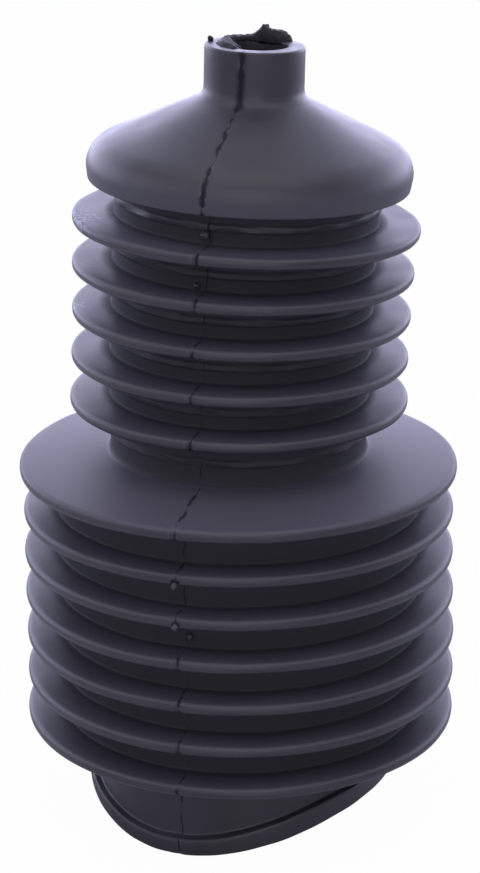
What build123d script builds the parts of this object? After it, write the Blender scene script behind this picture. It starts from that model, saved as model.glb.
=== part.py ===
from build123d import *
import os

os.makedirs("parts", exist_ok=True)

# Rubber bellows boot, one moulded piece. Sizes in millimetres, +Z along the boot.
# The origin is on the axis, at the height of the two lowest points of the mouth.
# Heights are stacked from the mouth up, so a change of one moves all that is above it.

# Cuff, its lip, and the saddle mouth that fits a tube lying across the boot
cuff_od = 62.0
cuff_bore = 56.0
cuff_height = 20.7
lip_overhang = 1.5
lip_height = 2.8
crossing_tube_od = 130.0

# Lower folds, the wide run
lower_fold_od = 90.2
lower_core_od = 76.0
lower_fold_count = 6
lower_fold_pitch = 9.0

# Shoulder between the two runs: a wide disc with a sloping top
shoulder_od = 90.8
shoulder_gap = 7.0
shoulder_rim_height = 2.4
shoulder_rise = 2.5
shoulder_wall = 3.0

# Upper folds, the narrow run
upper_fold_od = 69.0
upper_core_od = 53.0
upper_fold_count = 5
upper_fold_pitch = 9.2
upper_gap_below = 9.5
upper_gap_above = 6.9

# Every fold is a thin disc standing out from a thin tube
fold_thickness = 2.4
core_wall = 2.0

# Dome: a short rim, a rolled edge in two facets, and a shallow cone up to the neck
dome_od = 65.6
dome_rim_height = 3.4
dome_edge_inset = 0.9
dome_edge_rise = 2.8
dome_roll_inset = 2.2
dome_roll_rise = 1.9
dome_cone_rise = 9.3
dome_wall = 2.5

# Neck
neck_od = 20.0
neck_bore = 13.0
neck_length = 10.0

# Radii that follow from the sizes above
cuff_r = cuff_od / 2
cuff_bore_r = cuff_bore / 2
lip_r = cuff_r + lip_overhang
lip_root_r = (cuff_r + cuff_bore_r) / 2
lower_core_r = lower_core_od / 2
lower_inner_r = lower_core_r - core_wall
shoulder_r = shoulder_od / 2
upper_core_r = upper_core_od / 2
upper_inner_r = upper_core_r - core_wall
dome_r = dome_od / 2
dome_inner_r = dome_r - dome_wall
dome_edge_r = dome_r - dome_edge_inset
dome_roll_r = dome_edge_r - dome_roll_inset
neck_r = neck_od / 2
neck_bore_r = neck_bore / 2
crossing_tube_r = crossing_tube_od / 2

# Heights that follow, from the mouth up
crossing_tube_z = -((crossing_tube_r**2 - lip_r**2) ** 0.5)
mouth_crown_z = crossing_tube_z + crossing_tube_r
cuff_floor_z = cuff_height + fold_thickness
lower_first_z = cuff_height + fold_thickness / 2
lower_top_z = cuff_height + lower_fold_pitch * (lower_fold_count - 1) + fold_thickness
shoulder_under_z = lower_top_z + shoulder_gap
shoulder_rim_top_z = shoulder_under_z + shoulder_rim_height
shoulder_core_z = shoulder_rim_top_z + shoulder_rise
inner_shoulder_z = shoulder_core_z - shoulder_wall
upper_first_z = shoulder_core_z + upper_gap_below + fold_thickness / 2
upper_top_z = upper_first_z + upper_fold_pitch * (upper_fold_count - 1) + fold_thickness / 2
dome_rim_bottom_z = upper_top_z + upper_gap_above
dome_rim_top_z = dome_rim_bottom_z + dome_rim_height
dome_edge_z = dome_rim_top_z + dome_edge_rise
dome_roll_z = dome_edge_z + dome_roll_rise
neck_base_z = dome_roll_z + dome_cone_rise
boot_top_z = neck_base_z + neck_length
dome_floor_z = dome_rim_bottom_z + core_wall
dome_inner_z = dome_edge_z - dome_wall
neck_inner_z = neck_base_z - dome_wall


def fold_mids(first_z, pitch, count):
    """Heights of the middles of a run of folds, from the top one down."""
    return [first_z + pitch * step for step in reversed(range(count))]


def fold_steps(mids, crest_r, core_r):
    """Corners down the outside of a run of folds, core to crest and back."""
    corners = []
    for mid in mids:
        top = mid + fold_thickness / 2
        bottom = mid - fold_thickness / 2
        corners += [(core_r, top), (crest_r, top), (crest_r, bottom), (core_r, bottom)]
    return corners


upper_mids = fold_mids(upper_first_z, upper_fold_pitch, upper_fold_count)
lower_mids = fold_mids(lower_first_z, lower_fold_pitch, lower_fold_count)

# Outside corners, from the neck's top down to the cuff
neck_and_dome = [
    (neck_bore_r, boot_top_z),
    (neck_r, boot_top_z),
    (neck_r, neck_base_z),
    (dome_roll_r, dome_roll_z),
    (dome_edge_r, dome_edge_z),
    (dome_r, dome_rim_top_z),
    (dome_r, dome_rim_bottom_z),
    (upper_core_r, dome_rim_bottom_z),
]
shoulder = [
    (upper_core_r, shoulder_core_z),
    (shoulder_r, shoulder_rim_top_z),
    (shoulder_r, shoulder_under_z),
    (lower_core_r, shoulder_under_z),
]
cuff = [
    (cuff_r, cuff_height),
    (cuff_r, 0),
]
upper_run = fold_steps(upper_mids, upper_fold_od / 2, upper_core_r)
lower_run = fold_steps(lower_mids, lower_fold_od / 2, lower_core_r)
outside = neck_and_dome + upper_run + shoulder + lower_run[:-1] + cuff

# Inside corners, from the mouth up to the neck's bore
inside = [
    (cuff_bore_r, 0),
    (cuff_bore_r, cuff_floor_z),
    (lower_inner_r, cuff_floor_z),
    (lower_inner_r, inner_shoulder_z),
    (upper_inner_r, inner_shoulder_z),
    (upper_inner_r, dome_floor_z),
    (dome_inner_r, dome_floor_z),
    (dome_inner_r, dome_inner_z),
    (neck_bore_r, neck_inner_z),
]

with BuildPart() as bellows_boot:
    # Lip: a ring at the mouth, one lip height thick all along the crossing tube
    with BuildSketch(Plane.XY):
        Circle(lip_r)
        Circle(lip_root_r, mode=Mode.SUBTRACT)
    extrude(amount=mouth_crown_z + lip_height)
    with BuildSketch(Plane.YZ):
        with Locations((0, crossing_tube_z)):
            Circle(crossing_tube_r + lip_height)
    extrude(amount=shoulder_od, both=True, mode=Mode.INTERSECT)

    # Wall, folds, shoulder, dome and neck: one section turned about the axis
    with BuildSketch(Plane.XZ):
        with BuildLine():
            Polyline(*outside, *inside, close=True)
        make_face()
    revolve(axis=Axis.Z)

    # Saddle mouth: the crossing tube takes away what it would fill
    with BuildSketch(Plane.YZ):
        with Locations((0, crossing_tube_z)):
            Circle(crossing_tube_r)
    extrude(amount=shoulder_od, both=True, mode=Mode.SUBTRACT)

bellows_boot.part.label = "bellows_boot"
export_step(bellows_boot.part, "parts/bellows_boot.step")
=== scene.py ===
import logging
import math
from dataclasses import dataclass
from typing import Any, Dict, List, Optional, Sequence, Tuple, Union

import bpy
import numpy as np
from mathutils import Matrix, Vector, noise


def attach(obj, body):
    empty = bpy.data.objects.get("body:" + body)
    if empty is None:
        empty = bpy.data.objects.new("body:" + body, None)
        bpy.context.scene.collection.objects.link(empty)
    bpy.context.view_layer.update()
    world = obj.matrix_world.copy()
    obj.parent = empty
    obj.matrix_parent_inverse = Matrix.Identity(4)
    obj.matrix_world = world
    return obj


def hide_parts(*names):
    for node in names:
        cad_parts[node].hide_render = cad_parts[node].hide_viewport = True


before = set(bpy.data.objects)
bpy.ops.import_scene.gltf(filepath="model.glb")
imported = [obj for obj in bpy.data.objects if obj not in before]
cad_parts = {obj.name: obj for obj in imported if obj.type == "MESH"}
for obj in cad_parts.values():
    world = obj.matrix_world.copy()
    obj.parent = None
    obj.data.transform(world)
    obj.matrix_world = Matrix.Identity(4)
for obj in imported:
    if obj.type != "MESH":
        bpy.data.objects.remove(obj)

logging.basicConfig(level=logging.INFO, format="%(message)s")
log = logging.getLogger("bellows_boot")

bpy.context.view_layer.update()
MM = 0.001
NODE = "bellows_boot"
BODY = "root"
TEAR_SEED = 1796011208  # starts the torn rubber's noise, so that it is the same each run

Point = Tuple[float, float]
Colour = Tuple[float, float, float, float]
Face = Tuple[int, ...]
Form = Tuple[np.ndarray, List[Face]]
Key = Union[int, str]
Socket = bpy.types.NodeSocket


# Sizes of the boot, in millimetres, the same as those of the CAD source


@dataclass(frozen=True)
class NeckSizes:
    """The open neck and the dome below it."""

    top_z: float = 163.0
    outer_r: float = 10.0
    bore_r: float = 6.5
    base_z: float = 153.0
    roll_r: float = 29.7
    roll_z: float = 143.7
    edge_r: float = 31.9
    edge_z: float = 141.8
    dome_r: float = 32.8
    rim_taper: float = 0.5
    rim_top_z: float = 139.0
    dome_bottom_z: float = 135.6
    dome_inner_r: float = 30.3
    dome_floor_z: float = 137.6
    dome_inner_z: float = 139.3
    inner_base_z: float = 150.5


@dataclass(frozen=True)
class FoldSizes:
    """The two runs of disc folds and the shoulder between them."""

    thickness: float = 2.4
    upper_r: float = 34.5
    upper_core_r: float = 26.5
    upper_first_z: float = 90.7
    upper_pitch: float = 9.2
    upper_count: int = 5
    shoulder_r: float = 45.4
    shoulder_top_z: float = 77.5
    shoulder_under_z: float = 75.1
    shoulder_core_z: float = 80.0
    lower_r: float = 45.1
    lower_core_r: float = 38.0
    lower_first_z: float = 21.9
    lower_pitch: float = 9.0
    lower_count: int = 6
    core_wall: float = 2.0
    inner_shoulder_z: float = 77.0

    def upper_mids(self) -> List[float]:
        """Heights of the narrow folds, from the top one down."""
        steps = reversed(range(self.upper_count))
        return [self.upper_first_z + self.upper_pitch * i for i in steps]

    def lower_mids(self) -> List[float]:
        """Heights of the wide folds, from the top one down."""
        steps = reversed(range(self.lower_count))
        return [self.lower_first_z + self.lower_pitch * i for i in steps]

    def cuff_top_z(self) -> float:
        """Height where the cuff meets the lowest fold."""
        return self.lower_mids()[-1] - self.thickness / 2


@dataclass(frozen=True)
class MouthSizes:
    """The cuff, its lip and the tube that the saddle mouth fits over."""

    cuff_r: float = 31.0
    bore_r: float = 28.0
    lip_r: float = 32.5
    lip_height: float = 2.8
    floor_z: float = 23.1
    tube_r: float = 65.0
    tube_z: float = -56.29


# Sizes of what moulding and use add to it, in millimetres


@dataclass(frozen=True)
class SpreadSizes:
    """How far use has spread the discs past their moulded size, and over how many discs."""

    upper_top: float = 0.6
    upper_top_discs: float = 1.5
    upper_bottom: float = 0.3
    lower_bottom: float = 0.3
    lower_top: float = -0.3


@dataclass(frozen=True)
class SagSizes:
    """Where and how far the soft lip has spread up and down."""

    heading_deg: float = -30.0
    half_deg: float = 38.0
    edge: float = 0.8
    top: float = 1.0
    ragged: float = 0.15


@dataclass(frozen=True)
class EdgeSizes:
    """Radii of the moulded edges."""

    crest: float = 1.2
    root: float = 0.5
    rim: float = 0.5
    bore: float = 0.4
    shoulder_root: float = 1.2
    neck_foot: float = 2.6
    dome_roll: float = 7.0
    dome_edge: float = 4.0
    ring: float = 0.2
    lip_root: float = 0.4
    lip_top: float = 0.55
    lip_bottom: float = 0.5
    mouth: float = 0.4


@dataclass(frozen=True)
class MeshSizes:
    """How finely the turned skin is divided, and where its stretches meet."""

    outside_step: float = 2.2
    inside_step: float = 7.0
    bore_start: float = 2.5
    bore_end: float = 6.0
    cuff_end: float = 2.5
    lip_start: float = 1.6
    lip_end: float = 2.0
    cuff_turns: int = 5
    cuff_bore_turns: int = 3
    spokes: int = 148
    seam_spokes: int = 9
    seam_zone_deg: float = 4.0
    seam_crowding: float = 1.6
    seam_clear: float = 1.1
    least_gap_deg: float = 0.04


@dataclass(frozen=True)
class RingSizes:
    """The faint moulded ring halfway up each groove of the narrow run, with a painted highlight
    that is stronger in the top one.
    """

    height: float = 0.5
    half_width: float = 0.45
    foot: float = 0.95
    lower_share: float = 0.35
    tone_start: float = 0.1
    tone_rise: float = 0.3
    tone_middle: float = 1.4
    tone_fall: float = 0.6
    least_tone: float = 0.02
    whole_share: float = 0.6
    broken_share: float = 1.4
    least_share: float = 0.1


@dataclass(frozen=True)
class RippleSizes:
    """The skin's unevenness: its depth, its turns round the axis and its change with height."""

    depth: float = 0.12
    whole_r: float = 30.0
    wander_turns: float = 1.5
    wander_mm: float = 20.0
    crest_turns: float = 3.0
    crest_mm: float = 4.0
    ring_turns: float = 5.0
    ring_per_mm: float = 0.6
    lip_turns: float = 6.0
    lip_level: float = 3.0


@dataclass(frozen=True)
class ShelterSizes:
    """How the grooves' painted light and shade, a lighter fill tone with its gloss cut to stand in
    for shade, sets in with depth, as distances from the discs and the core.
    """

    margin: float = 0.01
    above_disc: float = 1.2
    core_reach: float = 2.0
    core_fade: float = 1.5
    crest_inset: float = 0.9
    crest_fade: float = 1.2
    ring_loss: float = 0.85
    crest_from_r: float = 33.0
    crest_margin: float = 0.05


@dataclass(frozen=True)
class PaintedLightAndDustSizes:
    """Where light is painted on upward faces and the dome's rim, as a lighter tone with less gloss,
    and the grey dust spots.

    Each dust spot has a heading in degrees, a height, a distance from the axis and a reach.
    """

    rim_share: float = 0.55
    rim_inset: float = 0.5
    rim_fade: float = 2.0
    shoulder_drop: float = 0.8
    shoulder_over: float = 0.1
    shoulder_fade: float = 0.6
    fold_share: float = 0.5
    face_margin: float = 0.3
    core_gap: float = 0.3
    dust_spots: Tuple[Tuple[float, float, float, float], ...] = (
        (-133.0, 128.0, 34.0, 6.0),
        (-140.0, 110.0, 33.5, 2.5),
    )


@dataclass(frozen=True)
class SeamSizes:
    """The mould's parting line up the side of the boot."""

    heading_deg: float = -75.0
    cuff_heading_deg: float = -82.0
    cuff_drop: float = 1.0
    notch_depth: float = 0.45
    notch_half_width: float = 0.6
    notch_flat: float = 1.5
    notch_in_groove: float = 0.3
    notch_from_r: float = 8.0
    reach: float = 6.0
    least_r: float = 5.0


@dataclass(frozen=True)
class SeamTone:
    """How wide the parting line's dark is: beads up to 1, a whole groove above 1."""

    bore: float = 0.5
    neck: float = 1.15
    neck_gain: float = 0.6
    neck_gain_start: float = 2.5
    neck_gain_mm: float = 1.5
    neck_foot_drop: float = 1.5
    neck_foot_reach: float = 2.5
    rim_inset: float = 0.6
    dome: float = 0.9
    cuff: float = 0.35
    groove: float = 0.25
    groove_recess: float = 0.5
    fold: float = 0.7


@dataclass(frozen=True)
class LeanSizes:
    """How the soft boot sways and tilts, as pairs of height and amount."""

    heading_deg: float = 31.0
    sway: Tuple[Point, ...] = (
        (40.0, 0.0),
        (60.0, -0.37),
        (75.0, -0.45),
        (90.0, -0.36),
        (100.0, -0.11),
        (110.0, 0.29),
        (118.0, 0.55),
        (127.0, 1.2),
        (135.0, 1.65),
        (143.0, 2.1),
        (151.0, 2.6),
        (163.0, 2.85),
    )
    tilt_deg: Tuple[Point, ...] = ((80.0, 0.0), (130.0, 2.9), (141.0, 2.2), (163.0, 2.1))


@dataclass(frozen=True)
class CameraSizes:
    """The camera, as fitted to the fold outlines in the photograph."""

    distance: float = 473.8
    height: float = 245.4
    pitch_deg: float = 19.09
    azimuth_deg: float = 31.0
    focal_px: float = 2415.0
    height_px: int = 873
    sensor_mm: float = 36.0
    shift_px: float = -0.5


# Small helpers


def linear(hex_code: str, alpha: float = 1.0) -> Colour:
    """Turns an sRGB hex code into Blender's linear colour.

    Args:
        hex_code: six hex digits with a leading #.
        alpha: opacity, 0 to 1.

    Returns:
        Linear red, green, blue and alpha.
    """
    parts = [int(hex_code[i : i + 2], 16) / 255 for i in (1, 3, 5)]
    lin = [c / 12.92 if c <= 0.04045 else ((c + 0.055) / 1.055) ** 2.4 for c in parts]
    return (lin[0], lin[1], lin[2], alpha)


def held(value: float) -> float:
    """Holds a value between 0 and 1."""
    return min(1.0, max(0.0, value))


def half_turn(angle: np.ndarray) -> np.ndarray:
    """Brings angles into the half turn to either side of zero."""
    return (angle + math.pi) % (2 * math.pi) - math.pi


def wave(angle: np.ndarray, turns: float, level: float) -> np.ndarray:
    """Reads a smooth noise once round the axis.

    Args:
        angle: the headings at which it is read.
        turns: how large a circle is walked through the noise.
        level: the height of that circle in the noise.

    Returns:
        One value per heading, roughly -1 to 1.
    """
    places = [Vector((math.cos(a) * turns, math.sin(a) * turns, level)) for a in angle]
    return np.array([noise.noise(place) for place in places])


def limits(
    low: float, high: float, out_low: float = 0.0, out_high: float = 1.0
) -> Dict[Key, float]:
    """Names the four inputs that map one range to another, held at both ends."""
    return {"From Min": low, "From Max": high, "To Min": out_low, "To Max": out_high}


class NodeTree:
    """A short way to add nodes and links to one shader tree."""

    def __init__(self, tree: bpy.types.NodeTree) -> None:
        """Takes over a tree and empties it."""
        self.tree = tree
        self.tree.nodes.clear()

    def add(
        self, kind: str, links: Optional[Dict[Key, Any]] = None, out: Key = 0, **settings: Any
    ) -> Optional[Socket]:
        """Adds one node.

        Args:
            kind: the node's type name without its ShaderNode prefix.
            links: input name or index to the socket or value that feeds it.
            out: name or index of the output that is wanted.
            settings: attributes set on the node itself.

        Returns:
            The wanted output, or None for a node that has no outputs.
        """
        node = self.tree.nodes.new("ShaderNode" + kind)
        for name, value in settings.items():
            setattr(node, name, value)
        for name, value in (links or {}).items():
            socket = node.inputs[name]
            if isinstance(value, Socket):
                self.tree.links.new(value, socket)
            else:
                socket.default_value = value
        return node.outputs[out] if len(node.outputs) else None


# Materials


@dataclass(frozen=True)
class Grain:
    """A noise bump with a real size, in millimetres."""

    size_mm: float
    depth_mm: float
    octaves: float
    strength: float

    def bump(self, tree: NodeTree, coords: Socket) -> Socket:
        """Adds the bump.

        Args:
            tree: the shader tree.
            coords: the coordinates, in metres.

        Returns:
            The bumped normal.
        """
        scale = 1 / (self.size_mm * MM)
        grain = tree.add("TexNoise", {"Vector": coords, "Scale": scale, "Detail": self.octaves})
        relief = {"Height": grain, "Distance": self.depth_mm * MM, "Strength": self.strength}
        return tree.add("Bump", relief)


@dataclass(frozen=True)
class Patches:
    """A noise whose patches have a real size, and the range of it that is used."""

    size_mm: float
    octaves: float
    low: float
    high: float


@dataclass(frozen=True)
class RubberFinish:
    """Moulded nitrile rubber: near black, satin, with a faint violet bloom of wax on its skin."""

    name: str = "moulded_nitrile_rubber"
    base_hex: str = "#25232A"
    worn_hex: str = "#2D2B33"
    # Painted light: a lighter tone on the dome's rim, the shoulder's top and the discs' upward
    # faces
    painted_light_hex: str = "#46444E"
    # Painted fill light: a lighter tone in the grooves
    groove_fill_light_hex: str = "#2E2D32"
    # Painted highlight on the faint groove rings
    ring_highlight_hex: str = "#4A4950"
    dust_hex: str = "#8C8CA6"
    seam_hex: str = "#1A191F"
    bloom_hex: str = "#C4C4F2"
    bloom: float = 0.06
    bloom_roughness: float = 0.35
    ior: float = 1.52
    gloss: float = 0.5
    # Gloss cut in the grooves, standing in for their shade
    groove_shade_gloss: float = 0.3
    seam_gloss: float = 0.15
    # Less gloss under the upward faces' painted light
    painted_light_gloss: float = 0.66
    roughness_low: float = 0.34
    roughness_high: float = 0.46
    painted_light_roughness: float = 0.5
    recess_roughness: float = 0.7
    grain: Grain = Grain(0.35, 0.02, 4.0, 0.35)
    mottle: Patches = Patches(9.0, 5.0, 0.35, 0.7)
    rough_mottle_low: float = 0.3
    # Noise that breaks the rings' painted highlight
    rings: Patches = Patches(4.8, 2.0, 0.4, 0.6)
    ring_highlight_least: float = 0.25
    specks: Patches = Patches(0.8, 3.0, 0.5, 0.62)
    drift: Patches = Patches(4.08, 2.0, 0.3, 0.7)
    drift_mm: float = 0.35
    beads: Patches = Patches(2.4, 1.0, 0.42, 0.58)
    seam_narrow_mm: float = 0.05
    seam_wide_mm: float = 0.5
    seam_edge: Point = (0.5, 1.6)
    seam_dark: float = 0.9


@dataclass(frozen=True)
class FlashFinish:
    """Nitrile rubber torn off where the mould's halves met, duller and darker than the skin."""

    name: str = "torn_nitrile_flash"
    base_hex: str = "#17161B"
    roughness: float = 0.62
    gloss: float = 0.3
    ior: float = 1.52
    grain: Grain = Grain(0.4, 0.06, 3.0, 0.6)


@dataclass(frozen=True)
class FloorFinish:
    """White painted board under the object, matt and with a fine tooth."""

    name: str = "white_matt_board"
    hex_code: str = "#FFFFFF"
    matt_hex: str = "#BEBEC2"
    lift: float = 0.98
    grain: Grain = Grain(0.8, 0.01, 2.0, 0.2)


class RubberShader:
    """Builds the boot's rubber: mottled tone, fine grain, bloom, painted light on upward faces, a
    painted fill light and a gloss cut for shade in the grooves, a painted highlight on the groove
    rings and the dark seam.
    """

    # Values painted on the skin's vertices. Three of them carry painted light: the upward faces'
    # lighter tone, the grooves' fill tone with its cut gloss, and the rings' highlight.
    marks = ("seam_off", "seam", "painted_light", "painted_groove_shading", "ring", "dust")

    def __init__(self, finish: RubberFinish) -> None:
        """Makes the empty material and reads what is painted on the skin's vertices."""
        self.finish = finish
        self.material = bpy.data.materials.new(finish.name)
        self.material.use_nodes = True
        self.tree = NodeTree(self.material.node_tree)
        self.coords = self.tree.add("TexCoord", out="Object")
        kind = "GEOMETRY"
        self.painted = {
            mark: self.tree.add("Attribute", out="Fac", attribute_name=mark, attribute_type=kind)
            for mark in self.marks
        }

    def patches(self, item: Patches, *readings: Tuple[float, float, float]) -> List[Socket]:
        """Adds one noise and reads it one or more times.

        Args:
            item: the noise.
            readings: for each, where in the noise it starts, its value there and at the end.

        Returns:
            One socket per reading.
        """
        scale = 1 / (item.size_mm * MM)
        pattern = {"Vector": self.coords, "Scale": scale, "Detail": item.octaves}
        value = self.tree.add("TexNoise", pattern)
        return [
            self.tree.add("MapRange", {"Value": value, **limits(start, item.high, first, last)})
            for start, first, last in readings
        ]

    def seam_line(self) -> Socket:
        """Draws the dark parting line: a ragged row of beads that wanders about its middle.

        Returns:
            How dark the line is, 0 to seam_dark.
        """
        f, add, share = self.finish, self.tree.add, self.painted["seam"]
        (drift,) = self.patches(f.drift, (f.drift.low, -f.drift_mm, f.drift_mm))
        (beads,) = self.patches(f.beads, (f.beads.low, f.seam_narrow_mm, f.seam_wide_mm))
        wandering = add("Math", {0: self.painted["seam_off"], 1: drift}, operation="ADD")
        away = add("Math", {0: wandering}, operation="ABSOLUTE")
        beaded = add("Math", {0: beads, 1: share}, operation="MULTIPLY")
        whole = add("Math", {0: share, 1: 1.0}, operation="SUBTRACT")
        width = add("Math", {0: beaded, 1: whole}, operation="MAXIMUM")
        ratio = add("Math", {0: away, 1: width}, operation="DIVIDE")
        return add("MapRange", {"Value": ratio, **limits(*f.seam_edge, f.seam_dark, 0.0)})

    def build(self) -> bpy.types.Material:
        """Joins the tones, the gloss and the grain into one shader.

        Returns:
            The rubber's material.
        """
        f, add, painted = self.finish, self.tree.add, self.painted
        worn_reading = (f.mottle.low, 0.0, 1.0)
        rough_reading = (f.rough_mottle_low, f.roughness_low, f.roughness_high)
        worn, rough = self.patches(f.mottle, worn_reading, rough_reading)
        # The rings' painted highlight, broken by noise
        (ring_highlight_breaks,) = self.patches(f.rings, (f.rings.low, f.ring_highlight_least, 1.0))
        (speck_parts,) = self.patches(f.specks, (f.specks.low, 0.0, 1.0))
        rings = add("Math", {0: painted["ring"], 1: ring_highlight_breaks}, operation="MULTIPLY")
        specks = add("Math", {0: painted["dust"], 1: speck_parts}, operation="MULTIPLY")
        seam = self.seam_line()

        # Tones, from the bare skin up: each one covers those before it by its share. The upward
        # faces' tone is painted light, the grooves' tone a painted fill light and the rings' tone a
        # painted highlight.
        tones = (
            (worn, f.worn_hex),
            (painted["painted_light"], f.painted_light_hex),
            (painted["painted_groove_shading"], f.groove_fill_light_hex),
            (rings, f.ring_highlight_hex),
            (specks, f.dust_hex),
            (seam, f.seam_hex),
        )
        skin: Union[Colour, Socket] = linear(f.base_hex)
        for share, hex_code in tones:
            parts = {"Factor": share, "A": skin, "B": linear(hex_code)}
            skin = add("Mix", parts, "Result", data_type="RGBA")

        # Gloss and roughness: duller in the grooves, where the cut gloss stands in for their shade,
        # under the upward faces' painted light and on the seam
        deep = {"Value": painted["painted_groove_shading"], **limits(0.0, 1.0, f.gloss, f.groove_shade_gloss)}
        gloss = add("MapRange", deep)
        for share, least in ((seam, f.seam_gloss), (painted["painted_light"], f.painted_light_gloss)):
            left = add("MapRange", {"Value": share, **limits(0.0, 1.0, 1.0, least)})
            gloss = add("Math", {0: gloss, 1: left}, operation="MULTIPLY")
        for mark, dull in (("painted_light", f.painted_light_roughness), ("painted_groove_shading", f.recess_roughness)):
            parts = {"Factor": painted[mark], "A": rough, "B": dull}
            rough = add("Mix", parts, "Result", data_type="FLOAT")

        surface = {
            "Base Color": skin,
            "Roughness": rough,
            "IOR": f.ior,
            "Specular IOR Level": gloss,
            "Sheen Weight": f.bloom,
            "Sheen Roughness": f.bloom_roughness,
            "Sheen Tint": linear(f.bloom_hex),
            "Normal": f.grain.bump(self.tree, self.coords),
        }
        add("OutputMaterial", {"Surface": add("BsdfPrincipled", surface)})
        return self.material


def make_flash(finish: FlashFinish) -> bpy.types.Material:
    """Builds the torn flash's rubber.

    Args:
        finish: its colour, gloss and grain.

    Returns:
        The material.
    """
    material = bpy.data.materials.new(finish.name)
    material.use_nodes = True
    tree = NodeTree(material.node_tree)
    surface = {
        "Base Color": linear(finish.base_hex),
        "Roughness": finish.roughness,
        "IOR": finish.ior,
        "Specular IOR Level": finish.gloss,
        "Normal": finish.grain.bump(tree, tree.add("TexCoord", out="Object")),
    }
    tree.add("OutputMaterial", {"Surface": tree.add("BsdfPrincipled", surface)})
    return material


def make_floor(finish: FloorFinish) -> bpy.types.Material:
    """Builds the white floor. The camera sees it lifted towards white, with its shadow kept.

    Args:
        finish: its colours, the lift and the grain.

    Returns:
        The material.
    """
    material = bpy.data.materials.new(finish.name)
    material.use_nodes = True
    tree = NodeTree(material.node_tree)
    normal = finish.grain.bump(tree, tree.add("TexCoord", out="Object"))
    matt = tree.add("BsdfDiffuse", {"Color": linear(finish.matt_hex), "Normal": normal})
    glow = tree.add("Emission", {"Color": linear(finish.hex_code), "Strength": 1.0})
    seen = tree.add("LightPath", out="Is Camera Ray")
    share = tree.add("Math", {0: seen, 1: finish.lift}, operation="MULTIPLY")
    both = tree.add("MixShader", {0: share, 1: matt, 2: glow})
    tree.add("OutputMaterial", {"Surface": both})
    return material


# The lean of the soft upper run


@dataclass(frozen=True)
class Posture:
    """Sways and tilts whatever stands on the shoulder, as one bent column."""

    sizes: LeanSizes = LeanSizes()

    def bend(self, points: np.ndarray) -> np.ndarray:
        """Moves points in millimetres sideways with height and tilts them about the axis.

        Args:
            points: rows of x, y and z.

        Returns:
            The moved points.
        """
        heading = math.radians(self.sizes.heading_deg)
        along = np.array([math.cos(heading), math.sin(heading)])
        shift = np.interp(points[:, 2], *zip(*self.sizes.sway))
        tilt = np.radians(np.interp(points[:, 2], *zip(*self.sizes.tilt_deg)))
        reach = points[:, :2] @ along
        out = points.copy()
        out[:, :2] += np.outer(shift, along)
        out[:, 2] -= reach * np.sin(tilt)
        return out


# Outlines and meshes


@dataclass(frozen=True)
class Corner:
    """One corner of the section, with the radius of its moulded edge."""

    r: float
    z: float
    radius: float = 0.0


@dataclass(frozen=True)
class Row:
    """One turn of the skin: radius, height over the floor and the tube, and what it carries."""

    r: float
    z: float
    over_tube: float = 0.0
    follow: float = 0.0
    crest: float = 0.0
    # The ring's painted highlight, the grooves' painted light and shade and the upward faces'
    # painted light, each 0 to 1
    ring: float = 0.0
    painted_groove_shading: float = 0.0
    painted_light: float = 0.0


def round_corners(corners: Sequence[Corner], step: float) -> List[Point]:
    """Rounds the corners of an open outline and divides its straights.

    Args:
        corners: the outline's corners in order.
        step: longest straight left undivided, in millimetres.

    Returns:
        The points of the rounded outline.
    """
    most_cut = 0.49
    degrees_per_part = 20
    points: List[Point] = []
    for i, corner in enumerate(corners):
        here = Vector((corner.r, corner.z))
        if corner.radius <= 0 or i in (0, len(corners) - 1):
            points.append((corner.r, corner.z))
            continue
        back = Vector((corners[i - 1].r, corners[i - 1].z)) - here
        ahead = Vector((corners[i + 1].r, corners[i + 1].z)) - here
        half = back.angle(ahead) / 2
        cut = min(corner.radius / math.tan(half), back.length * most_cut, ahead.length * most_cut)
        start = here + back.normalized() * cut
        end = here + ahead.normalized() * cut
        parts = max(2, round(math.degrees(math.pi - 2 * half) / degrees_per_part))
        for p in range(parts + 1):
            share = p / parts
            place = start.lerp(here, share).lerp(here.lerp(end, share), share)
            points.append((place.x, place.y))
    return divide(points, step)


def divide(points: Sequence[Point], step: float) -> List[Point]:
    """Adds points along straights that are longer than step.

    Args:
        points: the outline's points in order.
        step: longest straight left undivided, in millimetres.

    Returns:
        The divided outline, without points that fall on one another.
    """
    same_place = 1e-6
    out = [points[0]]
    for a, b in zip(points, points[1:]):
        length = math.dist(a, b)
        if length < same_place:
            continue
        parts = max(1, math.ceil(length / step))
        for p in range(1, parts + 1):
            share = p / parts
            out.append((a[0] + (b[0] - a[0]) * share, a[1] + (b[1] - a[1]) * share))
    return out


def loft(loops: Sequence[np.ndarray]) -> Form:
    """Joins closed loops of equal length into one skin with closed ends.

    Args:
        loops: the loops in order, each a set of points in millimetres.

    Returns:
        The points and the faces.
    """
    count = len(loops[0])
    faces: List[Face] = []
    for j in range(len(loops) - 1):
        for i in range(count):
            n = (i + 1) % count
            faces.append((j * count + i, j * count + n, (j + 1) * count + n, (j + 1) * count + i))
    faces.append(tuple(reversed(range(count))))
    last = (len(loops) - 1) * count
    faces.append(tuple(range(last, last + count)))
    return np.concatenate(loops), faces


def new_piece(
    name: str, points: np.ndarray, faces: Sequence[Face], material: bpy.types.Material
) -> bpy.types.Object:
    """Makes one smooth mesh piece that rides on the boot's body.

    Args:
        name: the piece's name.
        points: its points in millimetres.
        faces: its faces.
        material: its finish.

    Returns:
        The new object.
    """
    mesh = bpy.data.meshes.new(name)
    mesh.from_pydata((points * MM).tolist(), [], faces)
    mesh.update()
    mesh.polygons.foreach_set("use_smooth", [True] * len(mesh.polygons))
    mesh.materials.append(material)
    piece = bpy.data.objects.new(name, mesh)
    bpy.context.scene.collection.objects.link(piece)
    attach(piece, BODY)
    log.info("%s: %d points, %d faces", name, len(points), len(faces))
    return piece


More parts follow.
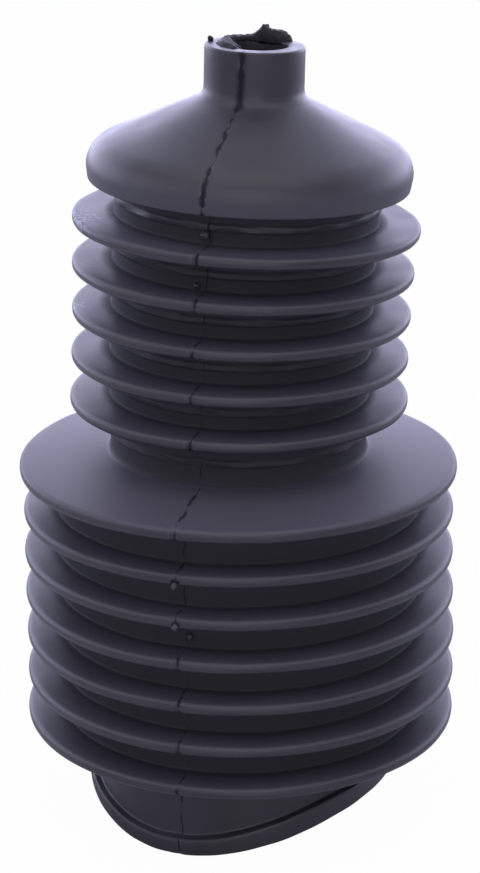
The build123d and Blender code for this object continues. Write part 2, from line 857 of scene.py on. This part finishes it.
def paint(mesh: bpy.types.Mesh, name: str, values: np.ndarray) -> None:
    """Stores one value per vertex under a name that the rubber reads."""
    layer = mesh.attributes.new(name, "FLOAT", "POINT")
    layer.data.foreach_set("value", np.asarray(values, np.float32))


# The boot's skin


@dataclass(frozen=True)
class BootSkin:
    """The moulded boot's skin, turned from its section with moulded edges, rings and seam."""

    posture: Posture
    neck: NeckSizes = NeckSizes()
    folds: FoldSizes = FoldSizes()
    mouth: MouthSizes = MouthSizes()
    spread: SpreadSizes = SpreadSizes()
    sag: SagSizes = SagSizes()
    edges: EdgeSizes = EdgeSizes()
    mesh: MeshSizes = MeshSizes()
    rings: RingSizes = RingSizes()
    ripple: RippleSizes = RippleSizes()
    shade: ShelterSizes = ShelterSizes()
    painted_light_and_dust: PaintedLightAndDustSizes = PaintedLightAndDustSizes()
    seam: SeamSizes = SeamSizes()
    seam_tone: SeamTone = SeamTone()
    name: str = "boot_skin"

    def disc(self, mid: float, crest_r: float, core_r: float) -> List[Corner]:
        """Draws one disc fold, from the core out to its crest and back.

        Args:
            mid: height of the disc's middle.
            crest_r: radius of its edge.
            core_r: radius of the tube that it stands on.

        Returns:
            Its corners, from the top down.
        """
        half = self.folds.thickness / 2
        return [
            Corner(core_r, mid + half, self.edges.root),
            Corner(crest_r, mid + half, self.edges.crest),
            Corner(crest_r, mid - half, self.edges.crest),
            Corner(core_r, mid - half, self.edges.root),
        ]

    def core_ring(self, mid: float) -> List[Corner]:
        """Draws the faint ring in one groove of the narrow run.

        Args:
            mid: height of the ring's middle.

        Returns:
            Its corners, from the top down.
        """
        core_r, ring, edge = self.folds.upper_core_r, self.rings, self.edges.ring
        return [
            Corner(core_r, mid + ring.foot, edge),
            Corner(core_r + ring.height, mid + ring.half_width, edge),
            Corner(core_r + ring.height, mid - ring.half_width, edge),
            Corner(core_r, mid - ring.foot, edge),
        ]

    def ring_heights(self) -> List[float]:
        """Works out the heights of the faint rings.

        Returns:
            The heights, from the dome down to the shoulder.
        """
        f = self.folds
        mids = f.upper_mids()
        between = [(a + b) / 2 for a, b in zip(mids, mids[1:])]
        top = (self.neck.dome_bottom_z + mids[0] + f.thickness / 2) / 2
        return [top] + between + [(f.shoulder_core_z + mids[-1] - f.thickness / 2) / 2]

    def narrow_run(self) -> List[Corner]:
        """Draws the narrow run: ring, disc, ring and so on.

        Returns:
            Its corners, from the top down.
        """
        f, s = self.folds, self.spread
        rings = self.ring_heights()
        out = self.core_ring(rings[0])
        for i, mid in enumerate(f.upper_mids()):
            near_top = max(0.0, 1 - i / s.upper_top_discs)
            wider = s.upper_top * near_top + s.upper_bottom * (i == f.upper_count - 1)
            out += self.disc(mid, f.upper_r + wider, f.upper_core_r) + self.core_ring(rings[i + 1])
        return out

    def wide_run(self) -> List[Corner]:
        """Draws the wide run, whose discs spread a little more towards the cuff.

        Returns:
            Its corners, from the top down.
        """
        f, s = self.folds, self.spread
        out: List[Corner] = []
        for i, mid in enumerate(f.lower_mids()):
            down = i / (f.lower_count - 1)
            wider = s.lower_top + (s.lower_bottom - s.lower_top) * down
            out += self.disc(mid, f.lower_r + wider, f.lower_core_r)
        return out[:-1]

    def outside(self) -> List[Corner]:
        """Draws the outside, from inside the neck's mouth, over its rim and down to the cuff.

        Returns:
            Its corners, from the top down.
        """
        n, f, e, m = self.neck, self.folds, self.edges, self.mouth
        top = [
            Corner(n.bore_r, n.top_z - self.mesh.bore_start),
            Corner(n.bore_r, n.top_z, e.bore),
            Corner(n.outer_r, n.top_z, e.rim),
            Corner(n.outer_r, n.base_z, e.neck_foot),
            Corner(n.roll_r, n.roll_z, e.dome_roll),
            Corner(n.edge_r, n.edge_z, e.dome_edge),
            Corner(n.dome_r, n.rim_top_z, e.dome_edge),
            Corner(n.dome_r - n.rim_taper, n.dome_bottom_z, e.rim),
            Corner(f.upper_core_r, n.dome_bottom_z, e.root),
        ]
        shoulder = [
            Corner(f.upper_core_r, f.shoulder_core_z, e.shoulder_root),
            Corner(f.shoulder_r, f.shoulder_top_z, e.crest),
            Corner(f.shoulder_r, f.shoulder_under_z, e.crest),
            Corner(f.lower_core_r, f.shoulder_under_z, e.root),
        ]
        cuff = [
            Corner(m.cuff_r, f.cuff_top_z(), e.root),
            Corner(m.cuff_r, f.cuff_top_z() - self.mesh.cuff_end),
        ]
        return top + self.narrow_run() + shoulder + self.wide_run() + cuff

    def inside(self) -> List[Corner]:
        """Draws the hollow, from the cuff's bore up to the neck's bore.

        Returns:
            Its corners, from the bottom up.
        """
        n, f, m, e = self.neck, self.folds, self.mouth, self.edges
        lower_r = f.lower_core_r - f.core_wall
        upper_r = f.upper_core_r - f.core_wall
        return [
            Corner(m.bore_r, m.floor_z - self.mesh.cuff_end),
            Corner(m.bore_r, m.floor_z, e.root),
            Corner(lower_r, m.floor_z, e.root),
            Corner(lower_r, f.inner_shoulder_z, e.root),
            Corner(upper_r, f.inner_shoulder_z, e.root),
            Corner(upper_r, n.dome_floor_z, e.root),
            Corner(n.dome_inner_r, n.dome_floor_z, e.root),
            Corner(n.dome_inner_r, n.dome_inner_z, e.root),
            Corner(n.bore_r, n.inner_base_z, e.root),
            Corner(n.bore_r, n.top_z - self.mesh.bore_end),
        ]

    def lip(self) -> List[Corner]:
        """Draws the lip, with heights measured over the crossing tube.

        Returns:
            Its corners, from the cuff round the lip and into the bore.
        """
        m, e = self.mouth, self.edges
        return [
            Corner(m.cuff_r, m.lip_height + self.mesh.lip_start),
            Corner(m.cuff_r, m.lip_height, e.lip_root),
            Corner(m.lip_r, m.lip_height, e.lip_top),
            Corner(m.lip_r, 0.0, e.lip_bottom),
            Corner(m.bore_r, 0.0, e.mouth),
            Corner(m.bore_r, self.mesh.lip_end),
        ]

    def ring_highlight_share(self, r: float, z: float) -> float:
        """Finds how much of the faint ring's painted highlight, a paler tone, a point of the
        section carries.

        Args:
            r: the point's radius.
            z: its height.

        Returns:
            0 away from the rings, 1 on the middle of the strongest.
        """
        f, g = self.folds, self.rings
        if z <= f.shoulder_core_z or r >= f.upper_core_r + g.height + g.tone_start:
            return 0.0
        raised = held((r - f.upper_core_r - g.tone_start) / g.tone_rise)
        shares = [1.0] + [g.lower_share] * f.upper_count
        away = [abs(z - middle) / g.half_width for middle in self.ring_heights()]
        close = [held(g.tone_middle - steps * g.tone_fall) for steps in away]
        return max(a * b for a, b in zip(close, shares)) * raised

    def outer_row(self, r: float, z: float) -> Row:
        """Makes one row of the outer skin with what its place carries.

        Args:
            r: the row's radius.
            z: its height.

        Returns:
            The row.
        """
        f, s = self.folds, self.shade
        ring = self.ring_highlight_share(r, z)
        crests = f.upper_mids() + f.lower_mids() + [(f.shoulder_top_z + f.shoulder_under_z) / 2]
        on_disc = any(abs(z - c) <= f.thickness / 2 + s.crest_margin for c in crests)
        crest = float(r > s.crest_from_r and on_disc)
        # The grooves' painted light and shade, weaker on the rings' painted highlight
        painted_groove_shading = self.shelter(r, z) * (1 - s.ring_loss * ring)
        return Row(r, z, crest=crest, ring=ring, painted_groove_shading=painted_groove_shading, painted_light=self.painted_light(r, z))

    def painted_light(self, r: float, z: float) -> float:
        """Finds how much painted light, a lighter tone on upward faces, a point of the section
        carries.

        Args:
            r: the point's radius.
            z: its height.

        Returns:
            0 where no light is painted, 1 on the shoulder's top.
        """
        n, f, s = self.neck, self.folds, self.painted_light_and_dust
        if n.dome_bottom_z < z < n.edge_z and r > n.edge_r - s.rim_inset:
            return s.rim_share * held((n.edge_z - z) / s.rim_fade)
        on_shoulder = f.shoulder_top_z - s.shoulder_drop < z < f.shoulder_core_z + s.shoulder_over
        if on_shoulder and r > f.upper_core_r + s.core_gap:
            return held((z - f.shoulder_top_z + s.shoulder_drop) / s.shoulder_fade)
        for mids, core_r in ((f.lower_mids(), f.lower_core_r), (f.upper_mids(), f.upper_core_r)):
            on_face = any(abs(z - mid - f.thickness / 2) < s.face_margin for mid in mids)
            if on_face and r > core_r + s.core_gap:
                return s.fold_share
        return 0.0

    def seam_share(self, row: Row) -> float:
        """Finds how wide the seam's dark line is at one turn.

        Args:
            row: the turn.

        Returns:
            The width as SeamTone gives it.
        """
        n, f, t = self.neck, self.folds, self.seam_tone
        if row.z > n.base_z - t.neck_foot_drop and row.r < n.outer_r + t.neck_foot_reach:
            if row.r < n.outer_r - t.rim_inset:
                return t.bore
            down = held((n.top_z - t.neck_gain_start - row.z) / t.neck_gain_mm)
            return t.neck + t.neck_gain * down
        if row.z > n.dome_bottom_z:
            return t.dome
        if row.z < f.cuff_top_z():
            return t.cuff
        return t.groove if row.painted_groove_shading > t.groove_recess else t.fold

    def rows(self) -> List[Row]:
        """Lists all turns of the skin in order, as a closed loop.

        Returns:
            The turns, down the outside, round the lip and up the inside.
        """
        g = self.mesh
        rows = [self.outer_row(r, z) for r, z in round_corners(self.outside(), g.outside_step)]
        start = rows[-1]
        lip = round_corners(self.lip(), g.outside_step)
        for i in range(1, g.cuff_turns + 1):
            rows.append(Row(start.r, start.z, lip[0][1], i / (g.cuff_turns + 1)))
        rows += [Row(r, start.z, height, 1.0) for r, height in lip]
        inner = round_corners(self.inside(), g.inside_step)
        for i in range(1, g.cuff_bore_turns + 1):
            follow = 1 - i / (g.cuff_bore_turns + 1)
            rows.append(Row(self.mouth.bore_r, inner[0][1], lip[-1][1], follow))
        rows += [Row(r, z) for r, z in inner]
        return rows

    def grooves(self) -> List[Tuple[float, float, float, float]]:
        """Lists every groove, from the dome down to the cuff.

        Returns:
            Bottom, top, core radius and crest radius of each.
        """
        f = self.folds
        half = f.thickness / 2
        upper, lower = f.upper_mids(), f.lower_mids()
        spans = [(upper[0] + half, self.neck.dome_bottom_z, f.upper_core_r, f.upper_r)]
        spans += [(b + half, a - half, f.upper_core_r, f.upper_r) for a, b in zip(upper, upper[1:])]
        spans += [(f.shoulder_core_z, upper[-1] - half, f.upper_core_r, f.upper_r)]
        spans += [(lower[0] + half, f.shoulder_under_z, f.lower_core_r, f.lower_r)]
        spans += [(b + half, a - half, f.lower_core_r, f.lower_r) for a, b in zip(lower, lower[1:])]
        return spans

    def shelter(self, r: float, z: float) -> float:
        """Finds how far a point of the section lies inside a groove.

        Args:
            r: the point's radius.
            z: its height.

        Returns:
            0 on the open skin, 1 at the core.
        """
        s = self.shade
        for low, high, core_r, crest_r in self.grooves():
            if low - s.margin <= z <= high + s.margin:
                up = held((z - low) / s.above_disc)
                near = held((core_r + s.core_reach - r) / s.core_fade)
                deep = held((crest_r - s.crest_inset - r) / s.crest_fade)
                return deep * max(up, near)
        return 0.0

    def spokes(self) -> np.ndarray:
        """Spaces the skin's vertices round the axis, closest together at the seam.

        Returns:
            Their angles, in radians.
        """
        g = self.mesh
        zone = math.radians(g.seam_zone_deg)
        share = np.linspace(-1, 1, 2 * g.seam_spokes + 1)
        fine = np.sign(share) * np.abs(share) ** g.seam_crowding * zone
        centres = [math.radians(a) for a in (self.seam.heading_deg, self.seam.cuff_heading_deg)]
        even = np.linspace(0, 2 * math.pi, g.spokes, endpoint=False)
        for centre in centres:
            even = even[np.abs(half_turn(even - centre)) > zone * g.seam_clear]
        angles = np.sort(np.concatenate([even] + [(c + fine) % (2 * math.pi) for c in centres]))
        apart = np.diff(angles) > math.radians(g.least_gap_deg)
        return angles[np.concatenate([[True], apart])]

    def mouth_z(self, row: Row, angle: np.ndarray) -> np.ndarray:
        """Finds the height of a turn that follows the crossing tube, with the lip's sag.

        Args:
            row: the turn.
            angle: the spokes' angles.

        Returns:
            One height per spoke.
        """
        m, s = self.mouth, self.sag
        saddle = m.tube_z + np.sqrt((m.tube_r + row.over_tube) ** 2 - (row.r * np.sin(angle)) ** 2)
        away = half_turn(angle - math.radians(s.heading_deg))
        near = np.exp(-((away / math.radians(s.half_deg)) ** 2))
        ragged = wave(angle, self.ripple.lip_turns, self.ripple.lip_level) * s.ragged
        rise = -s.edge + (s.edge + s.top) * held(row.over_tube / m.lip_height)
        return saddle + (near * rise + ragged)

    def seam_offset(self, row: Row, angle: np.ndarray) -> np.ndarray:
        """Measures how far each spoke is from the seam along one turn.

        Args:
            row: the turn.
            angle: the spokes' angles.

        Returns:
            Distances in millimetres, held at the seam's reach.
        """
        s = self.seam
        on_cuff = row.z < self.folds.lower_mids()[-1] - s.cuff_drop
        heading = s.cuff_heading_deg if on_cuff else s.heading_deg
        away = half_turn(angle - math.radians(heading))
        return np.clip(away * max(row.r, s.least_r), -s.reach, s.reach)

    def turn(self, row: Row, angle: np.ndarray) -> Tuple[np.ndarray, np.ndarray, np.ndarray]:
        """Places one turn of the skin.

        Args:
            row: the turn.
            angle: the spokes' angles.

        Returns:
            Points in millimetres, their distances from the seam, and how whole the ring is there.
        """
        s, g, w = self.seam, self.rings, self.ripple
        z = np.full_like(angle, row.z)
        if row.follow > 0:
            z = (1 - row.follow) * z + row.follow * self.mouth_z(row, angle)
        offset = self.seam_offset(row, angle)
        notch = np.clip(s.notch_flat - np.abs(offset) / s.notch_half_width, 0, 1)
        depth = s.notch_depth * (s.notch_in_groove + (1 - s.notch_in_groove) * row.crest)
        radius = row.r - notch * depth * (row.r > s.notch_from_r)
        broken = np.ones_like(angle)
        if row.ring > g.least_tone:
            ragged = wave(angle, w.ring_turns, row.z * w.ring_per_mm)
            broken = np.clip(g.whole_share + ragged * g.broken_share, g.least_share, 1.0)
            radius = radius - (1 - broken) * (row.r - self.folds.upper_core_r)
        wander = wave(angle, w.wander_turns, row.z / w.wander_mm)
        radius = radius + wander * w.depth * min(1.0, row.r / w.whole_r)
        if row.crest > 0:
            z = z + wave(angle, w.crest_turns, row.z / w.crest_mm) * w.depth
        points = np.stack([radius * np.cos(angle), radius * np.sin(angle), z], axis=1)
        return points, offset, broken

    def dust(self, points: np.ndarray) -> np.ndarray:
        """Finds how much grey dust sticks at each point of the skin.

        Args:
            points: the skin's points, before the boot leans.

        Returns:
            One value per point, 0 to 1.
        """
        total = np.zeros(len(points))
        for heading, height, radius, reach in self.painted_light_and_dust.dust_spots:
            turn = math.radians(heading)
            spot = np.array([radius * math.cos(turn), radius * math.sin(turn), height])
            total += np.exp(-(((points - spot) / reach) ** 2).sum(axis=1))
        return np.clip(total, 0, 1)

    def build(self, material: bpy.types.Material) -> bpy.types.Object:
        """Makes the skin's mesh in place of the CAD node.

        Args:
            material: the rubber.

        Returns:
            The skin's object.
        """
        rows = self.rows()
        angle = self.spokes()
        count = len(angle)
        turns = [self.turn(row, angle) for row in rows]
        straight = np.concatenate([points for points, _, _ in turns])
        faces: List[Face] = []
        for j in range(len(rows)):
            k = (j + 1) % len(rows)
            for i in range(count):
                n = (i + 1) % count
                faces.append((j * count + i, k * count + i, k * count + n, j * count + n))
        skin = new_piece(self.name, self.posture.bend(straight), faces, material)
        paint(skin.data, "seam_off", np.concatenate([offset for _, offset, _ in turns]))
        paint(skin.data, "seam", np.repeat([self.seam_share(row) for row in rows], count))
        # Painted light on upward faces and the dome's rim
        paint(skin.data, "painted_light", np.repeat([row.painted_light for row in rows], count))
        # The grooves' painted fill light and cut gloss
        paint(skin.data, "painted_groove_shading", np.repeat([row.painted_groove_shading for row in rows], count))
        # The rings' painted highlight, missing where the ring is broken
        paint(skin.data, "ring", np.concatenate([row.ring * t[2] for row, t in zip(rows, turns)]))
        paint(skin.data, "dust", self.dust(straight))
        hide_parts(NODE)
        return skin


# Torn flash


@dataclass(frozen=True)
class CrestSizes:
    """The torn crest on the rim's far side, with pairs of heading and height over the rim."""

    heights: Tuple[Point, ...] = (
        (64.0, 0.2),
        (70.0, 1.4),
        (78.0, 1.9),
        (96.0, 2.0),
        (101.0, 2.1),
        (102.5, 2.7),
        (110.0, 2.8),
        (112.0, 2.0),
        (118.0, 1.3),
        (124.0, 0.6),
        (165.0, 0.45),
        (172.0, 0.15),
    )
    inner_r: float = 6.3
    outer_r: float = 9.3
    sunk: float = 0.3
    least_width: float = 0.4
    flatness: float = 1.3
    under: float = 0.2
    stations: int = 80
    sides: int = 16
    rough: float = 0.3
    rough_grain: float = 0.9


@dataclass(frozen=True)
class FlapSizes:
    """The thin torn skin that hangs over the near left part of the bore."""

    from_deg: float = 168.0
    to_deg: float = 266.0
    outer_r: float = 7.6
    reach: float = 4.8
    reach_wave: float = 0.8
    reach_waves: float = 9.0
    end_share: float = 0.08
    lift: float = 0.15
    bulge: float = 0.8
    bulge_reach: float = 1.4
    droop: float = 1.1
    thickness: float = 0.5
    edge_thinning: float = 0.5
    bulge_thickness: float = 0.8
    stations: int = 26
    steps: int = 9
    rough: float = 0.22
    rough_grain: float = 1.1


@dataclass(frozen=True)
class Nub:
    """One lump of flash: heading, height and distance from the axis, and its half size."""

    heading_deg: float
    z: float
    r: float
    half: float


@dataclass(frozen=True)
class NubSizes:
    """How every lump is made, as shares of its half size, and the tone that it is painted, with a
    share of the rings' painted highlight.
    """

    tallness: float = 1.25
    rough: float = 0.45
    pole: float = 0.96
    levels: int = 9
    sides: int = 12
    seam_share: float = 0.5
    nub_highlight_share: float = 0.5


@dataclass(frozen=True)
class TornFlash:
    """The bits of torn rubber round the neck's mouth and on the seam."""

    posture: Posture
    neck: NeckSizes = NeckSizes()
    seam: SeamSizes = SeamSizes()
    crest: CrestSizes = CrestSizes()
    flap: FlapSizes = FlapSizes()
    nub: NubSizes = NubSizes()
    lump: Nub = Nub(197.0, 163.25, 9.0, 0.6)
    nubs: Tuple[Nub, ...] = (
        Nub(-76.5, 130.6, 27.2, 0.8),
        Nub(-78.8, 120.6, 27.1, 0.55),
        Nub(-75.0, 65.9, 45.0, 0.6),
        Nub(-75.0, 57.2, 45.0, 0.6),
        Nub(-73.5, 52.6, 38.6, 0.6),
    )

    @staticmethod
    def place(turn: float, r: np.ndarray, z: np.ndarray) -> np.ndarray:
        """Puts a cross-section upright at a heading round the axis."""
        return np.stack([r * math.cos(turn), r * math.sin(turn), z], axis=1)

    @staticmethod
    def rough(points: np.ndarray, amount: float, grain: float) -> np.ndarray:
        """Moves points a little along a noise, so that a piece looks torn."""
        moved = [noise.noise_vector(Vector(p) / grain) for p in points]
        return points + np.array([tuple(v) for v in moved]) * amount

    def make_crest(self) -> Form:
        """Makes the torn crest, with one blunt tooth.

        Returns:
            The points and the faces.
        """
        c = self.crest
        around = np.linspace(0, 2 * math.pi, c.sides, endpoint=False)
        upright = np.clip(np.sin(around) * c.flatness, -c.under, 1.0)
        middle = (c.inner_r + c.outer_r) / 2
        half = (c.outer_r - c.inner_r) / 2
        headings, heights = zip(*c.heights)
        loops = []
        for heading in np.linspace(headings[0], headings[-1], c.stations):
            height = float(np.interp(heading, headings, heights))
            r = middle + half * held(c.least_width + height) * np.cos(around)
            z = self.neck.top_z - c.sunk + (height + c.sunk) * upright
            loops.append(self.place(math.radians(heading), r, z))
        points, faces = loft(loops)
        return self.rough(points, c.rough, c.rough_grain), faces

    def make_flap(self) -> Form:
        """Makes the thin torn skin over the bore.

        Returns:
            The points and the faces.
        """
        s = self.flap
        inward = np.linspace(0, 1, s.steps)
        bulge = np.sin(np.pi * np.clip(inward * s.bulge_reach, 0, 1)) * s.bulge
        thick = s.thickness * (1 - s.edge_thinning * inward) + bulge * s.bulge_thickness
        loops = []
        for i in range(s.stations):
            share = i / (s.stations - 1)
            turn = math.radians(s.from_deg + (s.to_deg - s.from_deg) * share)
            taper = math.sin(math.pi * (s.end_share + (1 - 2 * s.end_share) * share)) ** 0.5
            inner = s.outer_r - (s.reach + s.reach_wave * math.sin(share * s.reach_waves)) * taper
            r = s.outer_r + (inner - s.outer_r) * inward
            top = self.neck.top_z + (s.lift + bulge - s.droop * inward**2) * taper
            r_loop = np.concatenate([r, r[::-1]])
            z_loop = np.concatenate([top, (top - thick)[::-1]])
            loops.append(self.place(turn, r_loop, z_loop))
        points, faces = loft(loops)
        return self.rough(points, s.rough, s.rough_grain), faces

    def make_nub(self, item: Nub) -> Form:
        """Makes one small ragged lump.

        Args:
            item: where it sits and how large it is.

        Returns:
            The points and the faces.
        """
        s = self.nub
        around = np.linspace(0, 2 * math.pi, s.sides, endpoint=False)
        turn = math.radians(item.heading_deg)
        middle = np.array([item.r * math.cos(turn), item.r * math.sin(turn), item.z])
        side = np.array([-math.sin(turn), math.cos(turn), 0.0])
        out = np.array([math.cos(turn), math.sin(turn), 0.0])
        loops = []
        for level in np.linspace(-s.pole, s.pole, s.levels):
            width = item.half * math.sqrt(1 - level**2)
            ring = middle + np.outer(np.cos(around) * width, side)
            ring += np.outer(np.sin(around) * width, out)
            ring[:, 2] += level * item.half * s.tallness
            loops.append(ring)
        points, faces = loft(loops)
        return self.rough(points, item.half * s.rough, item.half), faces

    def build(self, flash: bpy.types.Material, rubber: bpy.types.Material) -> None:
        """Makes every bit of flash as a piece of its own.

        Args:
            flash: the torn rubber's finish.
            rubber: the skin's finish, for the nubs that were moulded on.
        """
        torn = {
            "neck_torn_crest": self.make_crest(),
            "neck_torn_flap": self.make_flap(),
            "neck_torn_lump": self.make_nub(self.lump),
        }
        for name, (points, faces) in torn.items():
            new_piece(name, self.posture.bend(points), faces, flash)
        for number, item in enumerate(self.nubs, 1):
            points, faces = self.make_nub(item)
            piece = new_piece(f"seam_nub_{number}", self.posture.bend(points), faces, rubber)
            paint(piece.data, "seam_off", np.full(len(points), self.seam.reach))
            paint(piece.data, "seam", np.full(len(points), self.nub.seam_share))
            # A share of the rings' painted highlight on each nub
            paint(piece.data, "ring", np.full(len(points), self.nub.nub_highlight_share))


# Camera and studio


def build_camera(sizes: CameraSizes) -> bpy.types.Object:
    """Sets the camera where the photograph was taken from.

    Args:
        sizes: the fitted camera.

    Returns:
        The camera object.
    """
    data = bpy.data.cameras.new("camera")
    camera = bpy.data.objects.new("camera", data)
    bpy.context.scene.collection.objects.link(camera)
    turn = math.radians(sizes.azimuth_deg)
    out = sizes.distance * MM
    camera.location = (out * math.sin(turn), -out * math.cos(turn), sizes.height * MM)
    camera.rotation_euler = (math.radians(90 - sizes.pitch_deg), 0, turn)
    data.sensor_fit = "AUTO"
    data.sensor_width = sizes.sensor_mm
    data.lens = sizes.sensor_mm * sizes.focal_px / sizes.height_px
    data.shift_x = sizes.shift_px / sizes.height_px
    bpy.context.scene.camera = camera
    return camera


@dataclass(frozen=True)
class Lamp:
    """One soft square lamp, in metres and watts, placed round the object by heading and height."""

    name: str
    heading_deg: float
    distance: float
    height: float
    size: float
    power: float
    hex_code: str
    shines: bool = True


@dataclass(frozen=True)
class Glow:
    """How bright one side of the room is, as pairs of sine of elevation and strength."""

    steps: Tuple[Point, ...]
    hex_code: str


@dataclass(frozen=True)
class Studio:
    """The white room, in metres: floor, lamps and surroundings, brightest behind the boot."""

    floor_half: float = 1.5
    floor_drop: float = 0.0005
    aim_z: float = 0.08
    seen_hex: str = "#FFFFFF"
    backdrop_deg: float = 121.0
    backdrop_edge: Point = (-0.2, 0.85)
    backdrop: Glow = Glow(((0.0, 4.6), (0.25, 4.6), (0.5, 2.1), (0.8, 0.75)), "#DEDEFF")
    near_side: Glow = Glow(((0.0, 0.35), (0.3, 0.5), (0.6, 0.75), (1.0, 0.75)), "#F4F2FF")
    lamps: Tuple[Lamp, ...] = (
        Lamp("lamp_top", 31.0, 0.15, 1.0, 1.1, 2.0, "#FFFFFF"),
        Lamp("lamp_high", 31.0, 0.6, 1.1, 0.8, 2.6, "#FFFFFF", shines=False),
        Lamp("lamp_left", -40.0, 1.2, 0.6, 0.9, 1.6, "#ECECFF"),
        Lamp("lamp_front", 31.0, 1.3, 0.5, 1.0, 2.9, "#F4F4FF"),
    )

    def build(self, floor_finish: FloorFinish) -> None:
        """Adds the floor, lamps and world.

        Args:
            floor_finish: the floor's finish.
        """
        self.floor(floor_finish)
        for lamp in self.lamps:
            self.lamp(lamp)
        self.world()

    def floor(self, finish: FloorFinish) -> None:
        """Adds the staged floor under the mouth's lowest points.

        Args:
            finish: its finish.
        """
        half = self.floor_half
        corners = [(-half, -half, 0), (half, -half, 0), (half, half, 0), (-half, half, 0)]
        mesh = bpy.data.meshes.new("floor")
        mesh.from_pydata(corners, [], [(0, 1, 2, 3)])
        mesh.materials.append(make_floor(finish))
        floor = bpy.data.objects.new("floor", mesh)
        floor.location.z = -self.floor_drop
        bpy.context.scene.collection.objects.link(floor)

    def lamp(self, lamp: Lamp) -> None:
        """Adds one square area lamp aimed at the boot's middle.

        Args:
            lamp: its place, size, power and colour.
        """
        data = bpy.data.lights.new(lamp.name, "AREA")
        data.size = lamp.size
        data.energy = lamp.power
        data.color = linear(lamp.hex_code)[:3]
        item = bpy.data.objects.new(lamp.name, data)
        item.visible_glossy = lamp.shines
        turn = math.radians(lamp.heading_deg)
        side, back = lamp.distance * math.sin(turn), -lamp.distance * math.cos(turn)
        item.location = (side, back, lamp.height)
        aim = Vector((0, 0, self.aim_z)) - item.location
        item.rotation_euler = aim.to_track_quat("-Z", "Y").to_euler()
        bpy.context.scene.collection.objects.link(item)

    @staticmethod
    def glow(tree: NodeTree, rise: Socket, side: Glow) -> Socket:
        """Adds one side of the room as a background whose strength changes with height.

        Args:
            tree: the world's tree.
            rise: the sine of the elevation.
            side: strengths by height.

        Returns:
            The background's output.
        """
        strength: Union[float, Socket] = side.steps[0][1]
        for (low, _), (high, value) in zip(side.steps, side.steps[1:]):
            climb = {"Value": rise, **limits(low, high)}
            share = tree.add("MapRange", climb, interpolation_type="SMOOTHSTEP")
            parts = {"Factor": share, "A": strength, "B": value}
            strength = tree.add("Mix", parts, "Result", data_type="FLOAT")
        return tree.add("Background", {"Color": linear(side.hex_code), "Strength": strength})

    def world(self) -> None:
        """Sets white surroundings: plain white to the camera, a soft room to everything else."""
        world = bpy.data.worlds.new("white_room")
        bpy.context.scene.world = world
        world.use_nodes = True
        tree = NodeTree(world.node_tree)
        away = math.radians(self.backdrop_deg)
        toward = tree.add("TexCoord", out="Generated")
        behind = {0: toward, 1: (math.cos(away), math.sin(away), 0.0)}
        facing = tree.add("VectorMath", behind, "Value", operation="DOT_PRODUCT")
        turned = {"Value": facing, **limits(*self.backdrop_edge)}
        share = tree.add("MapRange", turned, interpolation_type="SMOOTHSTEP")
        rise = tree.add("SeparateXYZ", {0: toward}, "Z")
        near = self.glow(tree, rise, self.near_side)
        far = self.glow(tree, rise, self.backdrop)
        room = tree.add("MixShader", {0: share, 1: near, 2: far})
        plain = tree.add("Background", {"Color": linear(self.seen_hex), "Strength": 1.0})
        seen = tree.add("LightPath", out="Is Camera Ray")
        both = tree.add("MixShader", {0: seen, 1: room, 2: plain})
        tree.add("OutputWorld", {"Surface": both})


def main() -> None:
    """Builds the boot's looks, the studio and the camera."""
    noise.seed_set(TEAR_SEED)
    posture = Posture()
    rubber = RubberShader(RubberFinish()).build()
    BootSkin(posture).build(rubber)
    TornFlash(posture).build(make_flash(FlashFinish()), rubber)
    Studio().build(FloorFinish())
    build_camera(CameraSizes())
    bpy.context.scene.view_settings.view_transform = "Standard"


if __name__ == "__main__":
    main()
